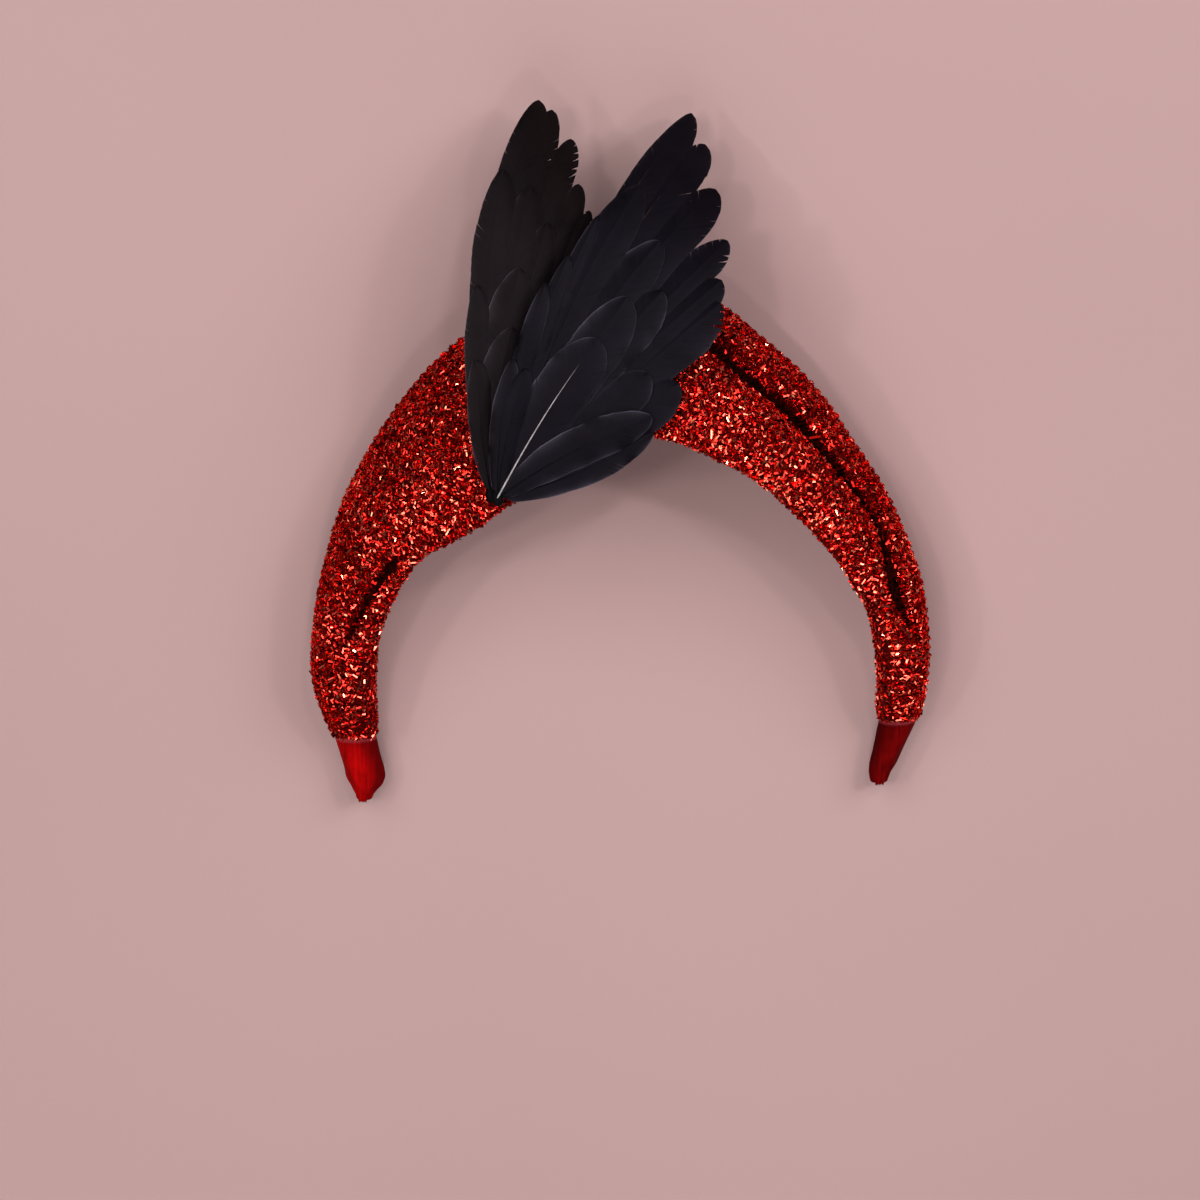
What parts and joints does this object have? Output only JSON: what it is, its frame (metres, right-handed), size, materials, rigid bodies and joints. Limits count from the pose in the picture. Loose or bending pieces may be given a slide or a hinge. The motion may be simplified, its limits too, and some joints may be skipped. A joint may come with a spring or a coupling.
{
  "type": "feather wing headband",
  "caption": "Padded arched headband in glittering tinsel fabric with velvet ends and a pair of feather wings set to one side of its top.",
  "frame": {"origin": "centre of the headband's outline, on the surface that its rear edge rests on", "axes": "+Z from the rear edge to the front edge, +Y from the band's two ends to the top of its arch and the wing tips, +X to the right as seen from the front"},
  "size_m": [0.1884, 0.2164, 0.0677],
  "materials": {
    "tinsel_fabric": "glittering red metallic flecks on a knitted ground",
    "velvet": "red velvet ribbon, soft sheen",
    "feather": "near-black feather vanes with a cool satin sheen"
  },
  "bodies": {
    "root": {"padded_band": "tinsel_fabric", "left_tip": "velvet", "right_tip": "velvet", "left_wing": "feather", "right_wing": "feather"}
  },
  "joints": []
}
